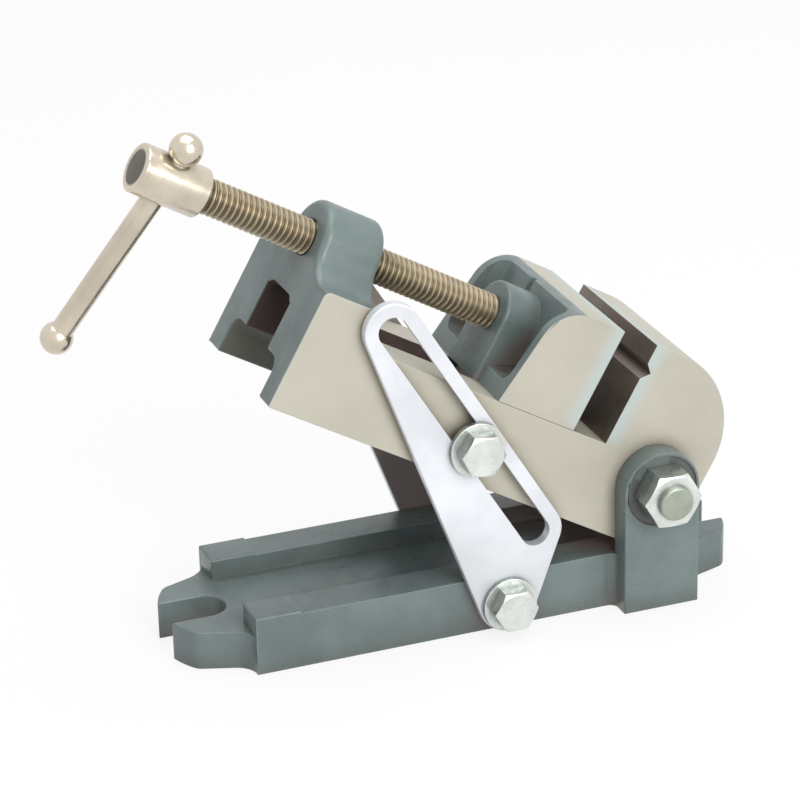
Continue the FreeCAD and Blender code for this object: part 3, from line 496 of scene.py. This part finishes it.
def evaluated_mesh(piece):
    """The mesh of an object with its modifiers made real."""
    bpy.context.view_layer.update()
    graph = bpy.context.evaluated_depsgraph_get()
    done = piece.evaluated_get(graph)
    return bpy.data.meshes.new_from_object(done, preserve_all_data_layers=True, depsgraph=graph)


def smoothed(mesh, angle=35):
    """Smooth shading with sharp edges kept."""
    mesh.polygons.foreach_set("use_smooth", [True] * len(mesh.polygons))
    mesh.set_sharp_from_angle(angle=math.radians(angle))


def room_beside(edge, face):
    """How far a face reaches from one of its edges."""
    start = edge.verts[0].co
    along = (edge.verts[1].co - start).normalized()
    return max((corner.co - start).cross(along).length for corner in face.verts)


def rim_radius(edge, face):
    """The radius of the smooth rim that an edge is part of, or a metre on a straight run."""
    smallest = 1.0
    for corner in edge.verts:
        for other in corner.link_edges:
            if other is edge or face not in other.link_faces:
                continue
            before = corner.co - edge.other_vert(corner).co
            after = other.other_vert(corner).co - corner.co
            turn = before.angle(after, 0.0)
            if 0.01 < turn < 0.6:
                smallest = min(smallest, min(before.length, after.length) / turn)
    return smallest


def rounding_width(edge, outer, hollow, ground):
    """The width of an edge's rounding, by what meets there and as far as both faces allow."""
    kinds = {face.material_index for face in edge.link_faces}
    if kinds & {GROUND, GRIPPING}:
        wanted = ground
    elif edge.is_convex:
        wanted = outer
    else:
        wanted = hollow
    wanted *= min(1.0, (edge.calc_face_angle() - SOFT_TURN) / (HARD_TURN - SOFT_TURN))
    room = min(room_beside(edge, face) for face in edge.link_faces)
    rim = min(rim_radius(edge, face) for face in edge.link_faces)
    return min(wanted, 0.35 * room, 0.6 * rim)


def rounded(mesh, name):
    """The mesh with its edges rounded by their weights, and its large flats left flat."""
    data = bpy.data.meshes.new(name)
    mesh.to_mesh(data)
    smoothed(data)
    draft = bpy.data.objects.new(name + "_draft", data)
    bpy.context.scene.collection.objects.link(draft)
    bevel = draft.modifiers.new("rounding", "BEVEL")
    bevel.limit_method = "WEIGHT"
    bevel.width = WIDEST
    bevel.segments = 4
    bevel.use_clamp_overlap = False
    done = evaluated_mesh(draft)
    bpy.data.objects.remove(draft)
    bpy.data.meshes.remove(data)
    return done


def tangled_places(done, sharp_form, reach):
    """Where roundings run into each other: corners away from the form, and folds in flat faces."""
    places = [corner.co.copy() for corner in done.vertices if sharp_form.find_nearest(corner.co)[3] > reach]
    done.calc_loop_triangles()
    for part in done.loop_triangles:
        if part.area > SPECK and part.normal.dot(done.polygons[part.polygon_index].normal) < 0:
            corners = [done.vertices[index].co for index in part.vertices]
            sides = zip(corners[-1:] + corners[:-1], corners)
            before, after = min(sides, key=lambda side: (side[0] - side[1]).length)
            places.append((before + after) / 2)
    return places


def ease(mesh, layer, places, sharp_form):
    """Halves the roundings beside some places."""
    for place in places:
        nearest, _, _, strayed = sharp_form.find_nearest(place)
        for edge in mesh.edges:
            if edge[layer] == 0:
                continue
            start, end = (corner.co for corner in edge.verts)
            beside, share = intersect_point_line(nearest, start, end)
            if not 0 < share < 1:
                beside = start if share <= 0 else end
            if (beside - nearest).length < max(2.5 * edge[layer] * WIDEST + 0.0003, 1.5 * strayed):
                edge[layer] *= 0.5


def rounded_casting(node, name, body, slot, materials, face_kind, outer, hollow):
    """A casting with its edges rounded, each face in its own finish."""
    mesh = merged_copy(node)
    for face in mesh.faces:
        place = TO_BODY @ face.calc_center_median()
        normal = TO_BODY.to_3x3() @ face.normal
        face.material_index = face_kind(place, normal, face)
    layer = mesh.edges.layers.float.new("bevel_weight_edge")
    for edge in mesh.edges:
        if len(edge.link_faces) == 2 and edge.calc_face_angle() > SOFT_TURN:
            edge[layer] = rounding_width(edge, outer, hollow, sizes().ground_round) / WIDEST
    sharp_form = BVHTree.FromBMesh(mesh)
    reach = 0.7 * max(outer, hollow)
    done = rounded(mesh, name)
    for _ in range(EASING_ROUNDS):
        places = tangled_places(done, sharp_form, reach)
        if not places:
            break
        ease(mesh, layer, places, sharp_form)
        bpy.data.meshes.remove(done)
        done = rounded(mesh, name)
    mesh.clear()
    mesh.from_mesh(done)
    for corner in mesh.verts:
        nearest, _, _, strayed = sharp_form.find_nearest(corner.co)
        if strayed > reach:
            corner.co = nearest
    bmesh.ops.triangulate(mesh, faces=[face for face in mesh.faces if len(face.verts) > 4])
    mesh.normal_update()
    folded = []
    for face in mesh.faces:
        _, outward, _, _ = sharp_form.find_nearest(face.calc_center_median())
        if face.normal.dot(outward) < 0:
            folded.append(face)
    bmesh.ops.reverse_faces(mesh, faces=folded)
    piece = new_piece(name, mesh, materials, body, slot, node)
    smoothed(piece.data)
    level = piece.modifiers.new("level", "WEIGHTED_NORMAL")
    level.keep_sharp = True
    level.weight = 90
    piece.data = evaluated_mesh(piece)
    piece.modifiers.clear()
    return piece


class VISE_OT_base_casting(Operator):
    """Dress the slotted base and its two ears"""

    bl_idname = "angle_vise.base_casting"
    bl_label = "Base casting"

    def execute(self, context):
        def kind(place, normal, face):
            if abs(normal.y) > FLAT and math.hypot(place.x, place.z) < SPOT_CENTRE:
                return SPOT
            return GROUND if face.normal.z < -FLAT else PAINTED

        rounded_casting("base_casting", "base_painted", "base", "painted_casting",
                        [casting_paint(), ground_iron(), spot_face()], kind,
                        sizes().cast_round, sizes().base_hollow)
        return {"FINISHED"}


class VISE_OT_tilting_body(Operator):
    """Dress the tilting body: painted ends and boss, ground sides and ways, dark jaw face"""

    bl_idname = "angle_vise.tilting_body"
    bl_label = "Tilting body"

    def execute(self, context):
        def kind(place, normal, face):
            if abs(normal.y) > FLAT and abs(abs(place.y) - SIDE) < ON_PLANE:
                return GROUND
            if place.z > WAYS + ON_PLANE and place.x > FIXED_FACE - ON_PLANE:
                if place.x < FIXED_FACE + GRIP_DEPTH and normal.x < -0.3:
                    return GRIPPING
                return GROUND
            if normal.z > FLAT and abs(place.z - WAYS) < ON_PLANE:
                return GROUND
            outer = (abs(place.x - HANDLE_END) < ON_PLANE or abs(place.z - BODY_UNDER) < ON_PLANE
                     or place.x > PIVOT_END or place.z > WAYS + ON_PLANE)
            inside = abs(place.y) < HOLLOW_SIDE and place.z < HOLLOW_TOP and place.x < HOLLOW_END
            inside = inside and not abs(place.x - HANDLE_END) < ON_PLANE
            inside = inside and not abs(place.z - BODY_UNDER) < ON_PLANE
            return RAW if inside or not outer else PAINTED

        rounded_casting("tilting_body", "body_dressed", "vise_body", "machined_casting",
                        [casting_paint(), ground_iron(), gripping_steel(), raw_iron_shaded()], kind,
                        sizes().cast_round, sizes().body_hollow)
        return {"FINISHED"}


class VISE_OT_movable_jaw(Operator):
    """Dress the movable jaw: painted back and pockets, ground sides and top, dark face"""

    bl_idname = "angle_vise.movable_jaw"
    bl_label = "Movable jaw"

    def execute(self, context):
        def kind(place, normal, face):
            if abs(normal.y) > FLAT and abs(abs(place.y) - SIDE) < ON_PLANE:
                return GROUND
            if normal.z > FLAT and abs(place.z - JAW_TOP) < ON_PLANE:
                return GROUND
            if normal.x > FLAT and abs(place.x - MOVING_FACE) < ON_PLANE:
                return GRIPPING
            if place.z < WAYS + 0.0002:
                return GROUND
            return PAINTED

        rounded_casting("movable_jaw", "jaw_dressed", "jaw", "machined_casting",
                        [casting_paint(), ground_iron(), gripping_steel()], kind,
                        sizes().cast_round, sizes().pocket_hollow)
        return {"FINISHED"}


def thread_tree(material):
    """Geometry nodes that cut a thread: a sheared grid wrapped round an axis, square at both ends."""
    tree = bpy.data.node_groups.new("Cut thread", "GeometryNodeTree")
    face = tree.interface
    for name, kind in (("Start", "Float"), ("End", "Float"), ("Crest Radius", "Float"), ("Root Radius", "Float"),
                       ("Pitch", "Float"), ("Sides", "Int"), ("Steps", "Int")):
        face.new_socket(name, in_out="INPUT", socket_type="NodeSocket" + kind)
    face.new_socket("Geometry", in_out="OUTPUT", socket_type="NodeSocketGeometry")
    given = tree.nodes.new("NodeGroupInput").outputs

    def feed(socket, value):
        if isinstance(value, bpy.types.NodeSocket):
            tree.links.new(value, socket)
        else:
            socket.default_value = value

    def maths(operation, *values):
        node = tree.nodes.new("ShaderNodeMath")
        node.operation = operation
        for socket, value in zip(node.inputs, values):
            feed(socket, value)
        return node.outputs[0]

    def mapped(value, low, high, out_low, out_high):
        node = tree.nodes.new("ShaderNodeMapRange")
        for key, item in (("Value", value), ("From Min", low), ("From Max", high), ("To Min", out_low),
                          ("To Max", out_high)):
            feed(node.inputs[key], item)
        return node.outputs[0]

    turns = maths("ADD", maths("CEIL", maths("DIVIDE", maths("SUBTRACT", given["End"], given["Start"]),
                                             given["Pitch"])), 2.0)
    rows = maths("ADD", maths("MULTIPLY", turns, given["Steps"]), 1.0)
    columns = maths("ADD", given["Sides"], 1.0)
    grid = tree.nodes.new("GeometryNodeMeshGrid")
    feed(grid.inputs["Vertices X"], rows)
    feed(grid.inputs["Vertices Y"], columns)
    index = tree.nodes.new("GeometryNodeInputIndex").outputs[0]
    row = maths("FLOOR", maths("DIVIDE", maths("ADD", index, 0.5), columns))
    column = maths("SUBTRACT", index, maths("MULTIPLY", row, columns))
    turn_share = maths("DIVIDE", column, given["Sides"])
    phase = maths("FRACT", maths("DIVIDE", maths("ADD", row, 0.01), given["Steps"]))
    away = maths("MULTIPLY", maths("ABSOLUTE", maths("SUBTRACT", phase, 0.5)), 2.0)
    turns_along = maths("ADD", maths("DIVIDE", row, given["Steps"]), turn_share)
    along = maths("ADD", maths("SUBTRACT", given["Start"], given["Pitch"]),
                  maths("MULTIPLY", turns_along, given["Pitch"]))
    radius = mapped(away, 0.18, 0.80, given["Root Radius"], given["Crest Radius"])
    inside = maths("MULTIPLY", maths("GREATER_THAN", along, given["Start"]),
                   maths("LESS_THAN", along, given["End"]))
    radius = mapped(inside, 0.0, 1.0, given["Root Radius"], radius)
    held = maths("MINIMUM", maths("MAXIMUM", along, given["Start"]), given["End"])
    angle = maths("MULTIPLY", turn_share, 2 * math.pi)
    point = tree.nodes.new("ShaderNodeCombineXYZ")
    feed(point.inputs[0], held)
    feed(point.inputs[1], maths("MULTIPLY", radius, maths("COSINE", angle)))
    feed(point.inputs[2], maths("MULTIPLY", radius, maths("SINE", angle)))
    wrap = tree.nodes.new("GeometryNodeSetPosition")
    feed(wrap.inputs["Geometry"], grid.outputs["Mesh"])
    feed(wrap.inputs["Position"], point.outputs[0])
    weld = tree.nodes.new("GeometryNodeMergeByDistance")
    feed(weld.inputs["Geometry"], wrap.outputs[0])
    feed(weld.inputs["Distance"], 2e-6)
    real = tree.nodes.new("GeometryNodeRealizeInstances")
    feed(real.inputs["Geometry"], weld.outputs[0])
    paint = tree.nodes.new("GeometryNodeSetMaterial")
    feed(paint.inputs["Geometry"], real.outputs[0])
    paint.inputs["Material"].default_value = material
    feed(tree.nodes.new("NodeGroupOutput").inputs[0], paint.outputs[0])
    return tree


def cut_thread(name, start, end, crest, depth, pitch, material, place):
    """A threaded length as a plain closed mesh, put where it belongs."""
    draft = bpy.data.objects.new(name + "_draft", bpy.data.meshes.new(name + "_draft"))
    bpy.context.scene.collection.objects.link(draft)
    tree = thread_tree(material)
    modifier = draft.modifiers.new("thread", "NODES")
    modifier.node_group = tree
    settings = {"Start": start, "End": end, "Crest Radius": crest, "Root Radius": crest - depth, "Pitch": pitch,
                "Sides": sizes().thread_sides, "Steps": 10}
    for socket in tree.interface.items_tree:
        if socket.in_out == "INPUT":
            modifier[socket.identifier] = settings[socket.name]
    data = evaluated_mesh(draft)
    bpy.data.objects.remove(draft)
    mesh = bmesh.new()
    mesh.from_mesh(data)
    bmesh.ops.remove_doubles(mesh, verts=mesh.verts, dist=3e-6)
    bmesh.ops.dissolve_degenerate(mesh, edges=mesh.edges, dist=1e-7)
    bmesh.ops.holes_fill(mesh, edges=mesh.edges, sides=0)
    bmesh.ops.transform(mesh, matrix=place, verts=mesh.verts)
    bmesh.ops.recalc_face_normals(mesh, faces=mesh.faces)
    mesh.to_mesh(data)
    mesh.free()
    smoothed(data, 50)
    return data


class VISE_OT_clamp_screw(Operator):
    """Make the clamp screw: cut thread, turned head and the plain end in the jaw"""

    bl_idname = "angle_vise.clamp_screw"
    bl_label = "Clamp screw"

    def execute(self, context):
        gold = plated("turned_steel", colours().screw_gold, 0.34, 120, marks=brown_roots)
        axis = BODY @ Matrix.Translation((0, 0, SCREW_UP))
        thread = cut_thread("clamp_screw_thread", HEAD_END - 0.0006, THREAD_END, CREST, sizes().thread_depth,
                            sizes().thread_pitch, gold, axis)
        thread = new_piece("clamp_screw_thread", thread, None, "screw", "screw_steel", "clamp_screw")
        nickel = plated("head_plate", colours().nickel, 0.22, 60, marks=dull_end)
        for name, keep_head in (("clamp_screw_head", True), ("clamp_screw_end", False)):
            mesh = merged_copy("clamp_screw")
            bound = BODY @ Vector((HEAD_END if keep_head else THREAD_END, 0, 0))
            bmesh.ops.bisect_plane(mesh, geom=[*mesh.verts, *mesh.edges, *mesh.faces], plane_co=bound,
                                   plane_no=BODY.to_3x3() @ Vector((1, 0, 0)),
                                   clear_outer=keep_head, clear_inner=not keep_head)
            bmesh.ops.holes_fill(mesh, edges=mesh.edges, sides=0)
            bmesh.ops.recalc_face_normals(mesh, faces=mesh.faces)
            finish = nickel if keep_head else gold
            slot = "handle_plate" if keep_head else "screw_steel"
            piece = new_piece(name, mesh, [finish], "screw", slot)
            smoothed(piece.data)
        return {"FINISHED"}


class VISE_OT_fittings(Operator):
    """Plate the handle, the brace arm, the bolts, the nut and the washers"""

    bl_idname = "angle_vise.fittings"
    bl_label = "Fittings"

    def execute(self, context):
        nickel = plated("nickel_plate", colours().nickel, 0.22, 60)
        zinc = plated("arm_zinc", colours().arm_zinc, 0.42, 34, 0.35, greyed_foot_shaded_inside)
        bolts = plated("bolt_zinc", colours().bolt_zinc, 0.30, 140, 0.8, shaded_facets)
        dull = plated("pivot_steel", colours().pivot_steel, 0.40, 140, 0.7, shaded_facets)
        hidden = plated("plain_steel", PLAIN_STEEL, 0.4, 90)
        finishes = {nickel: ("handle_bar", "handle_ball_upper", "handle_ball_lower"),
                    zinc: ("brace_arm_near", "brace_arm_far"),
                    dull: ("pivot_bolt",),
                    bolts: ("pivot_nut", "foot_bolt_near", "foot_bolt_far", "foot_washer_near",
                            "foot_washer_far", "clamp_bolt_near", "clamp_bolt_far", "clamp_washer_near",
                            "clamp_washer_far"),
                    hidden: ("screw_retaining_pin", "jaw_keeper_plate", "keeper_screw_front",
                             "keeper_screw_rear")}
        for material, nodes in finishes.items():
            for node in nodes:
                data = NODES[node].data
                data.materials.clear()
                data.materials.append(material)
        return {"FINISHED"}


def emission_for_sight(tree, under, share):
    """Mixes plain white into a shader for camera, glossy and transmission rays."""
    path = tree.nodes.new("ShaderNodeLightPath")
    seen = path.outputs["Is Camera Ray"]
    for ray in ("Is Glossy Ray", "Is Transmission Ray"):
        either = tree.nodes.new("ShaderNodeMath")
        either.operation = "MAXIMUM"
        tree.links.new(seen, either.inputs[0])
        tree.links.new(path.outputs[ray], either.inputs[1])
        seen = either.outputs[0]
    amount = tree.nodes.new("ShaderNodeMath")
    amount.operation = "MULTIPLY"
    tree.links.new(seen, amount.inputs[0])
    amount.inputs[1].default_value = share
    white = tree.nodes.new("ShaderNodeEmission" if under.node.type != "BACKGROUND" else "ShaderNodeBackground")
    white.inputs["Color"].default_value = (1, 1, 1, 1)
    white.inputs["Strength"].default_value = 1.0
    mix = tree.nodes.new("ShaderNodeMixShader")
    tree.links.new(amount.outputs[0], mix.inputs[0])
    tree.links.new(under, mix.inputs[1])
    tree.links.new(white.outputs[0], mix.inputs[2])
    return mix.outputs[0]


class VISE_OT_studio(Operator):
    """Set the pale floor, the soft lamps and the camera"""

    bl_idname = "angle_vise.studio"
    bl_label = "Studio"

    def execute(self, context):
        scene = context.scene
        scene.view_settings.view_transform = "Standard"
        world = bpy.data.worlds.new("studio")
        scene.world = world
        world.use_nodes = True
        tree = world.node_tree
        soft = tree.nodes["Background"]
        soft.inputs["Color"].default_value = (0.94, 0.97, 1.0, 1.0)
        soft.inputs["Strength"].default_value = 0.36
        tree.links.new(emission_for_sight(tree, soft.outputs[0], 1.0), tree.nodes["World Output"].inputs[0])

        floor = bpy.data.objects.new("floor", bpy.data.meshes.new("floor"))
        reach = 6.0
        corners = [(-reach, -reach, 0), (reach, -reach, 0), (reach, reach, 0), (-reach, reach, 0)]
        floor.data.from_pydata(corners, [], [(0, 1, 2, 3)])
        floor.location.z = CAD_BOX[0].z - 0.0002
        scene.collection.objects.link(floor)
        pale = bpy.data.materials.new("pale_floor")
        pale.use_nodes = True
        surface = pale.node_tree.nodes["Principled BSDF"]
        surface.inputs["Base Color"].default_value = (0.90, 0.90, 0.90, 1)
        surface.inputs["Roughness"].default_value = 0.9
        output = pale.node_tree.nodes["Material Output"]
        pale.node_tree.links.new(emission_for_sight(pale.node_tree, surface.outputs[0], 0.84), output.inputs[0])
        floor.data.materials.append(pale)

        lamps = (("key", (0.35, -1.5, 0.85), 1.1, 20.0), ("top", (0.1, 0.1, 1.6), 1.4, 17.0))
        for name, place, size, power in lamps:
            lamp = bpy.data.lights.new(name, "AREA")
            lamp.size = size
            lamp.energy = power
            lamp.color = (1.0, 0.985, 0.96)
            holder = bpy.data.objects.new(name, lamp)
            holder.location = place
            aim = Vector((0, 0, 0.07)) - Vector(place)
            holder.rotation_euler = aim.to_track_quat("-Z", "Y").to_euler()
            scene.collection.objects.link(holder)
        self.camera(scene)
        return {"FINISHED"}

    def camera(self, scene):
        """The photograph's view."""
        turn, down, roll = (math.radians(angle) for angle in (20.655, 23.63, -1.323))
        look = Vector((math.sin(turn) * math.cos(down), math.cos(turn) * math.cos(down), -math.sin(down)))
        right = Vector((math.cos(turn), -math.sin(turn), 0))
        up = right.cross(look)
        across = right * math.cos(roll) + up * math.sin(roll)
        upward = up * math.cos(roll) - right * math.sin(roll)
        lens = bpy.data.cameras.new("photo_view")
        lens.sensor_fit = "HORIZONTAL"
        lens.sensor_width = 36.0
        lens.lens = 152.754
        lens.clip_start = 0.05
        lens.clip_end = 30.0
        camera = bpy.data.objects.new("photo_view", lens)
        camera.matrix_world = (Matrix.Translation((-0.4003, -1.0213, 0.5569))
                               @ Matrix((across, upward, -look)).transposed().to_4x4())
        scene.collection.objects.link(camera)
        scene.camera = camera


class VISE_PT_panel(Panel):
    """The vise's pieces, sizes and colours"""

    bl_idname = "VISE_PT_panel"
    bl_label = "Angle vise"
    bl_space_type = "VIEW_3D"
    bl_region_type = "UI"
    bl_category = "Angle vise"

    def draw(self, context):
        for operator in OPERATORS:
            self.layout.operator(operator.bl_idname)
        for group in (sizes(), colours()):
            for name in group.__annotations__:
                self.layout.prop(group, name)


OPERATORS = (VISE_OT_base_casting, VISE_OT_tilting_body, VISE_OT_movable_jaw, VISE_OT_clamp_screw,
             VISE_OT_fittings, VISE_OT_studio)
CLASSES = (ViseSizes, ViseColours, *OPERATORS, VISE_PT_panel)


def register():
    """Adds the classes and the settings."""
    for item in CLASSES:
        bpy.utils.register_class(item)
    bpy.types.Scene.angle_vise_sizes = PointerProperty(type=ViseSizes)
    bpy.types.Scene.angle_vise_colours = PointerProperty(type=ViseColours)


def unregister():
    """Takes the settings and the classes away."""
    del bpy.types.Scene.angle_vise_sizes
    del bpy.types.Scene.angle_vise_colours
    for item in reversed(CLASSES):
        bpy.utils.unregister_class(item)


def main():
    """Makes every piece and the stage."""
    register()
    bpy.ops.angle_vise.base_casting()
    bpy.ops.angle_vise.tilting_body()
    bpy.ops.angle_vise.movable_jaw()
    bpy.ops.angle_vise.clamp_screw()
    bpy.ops.angle_vise.fittings()
    bpy.ops.angle_vise.studio()


if __name__ == "__main__":
    main()
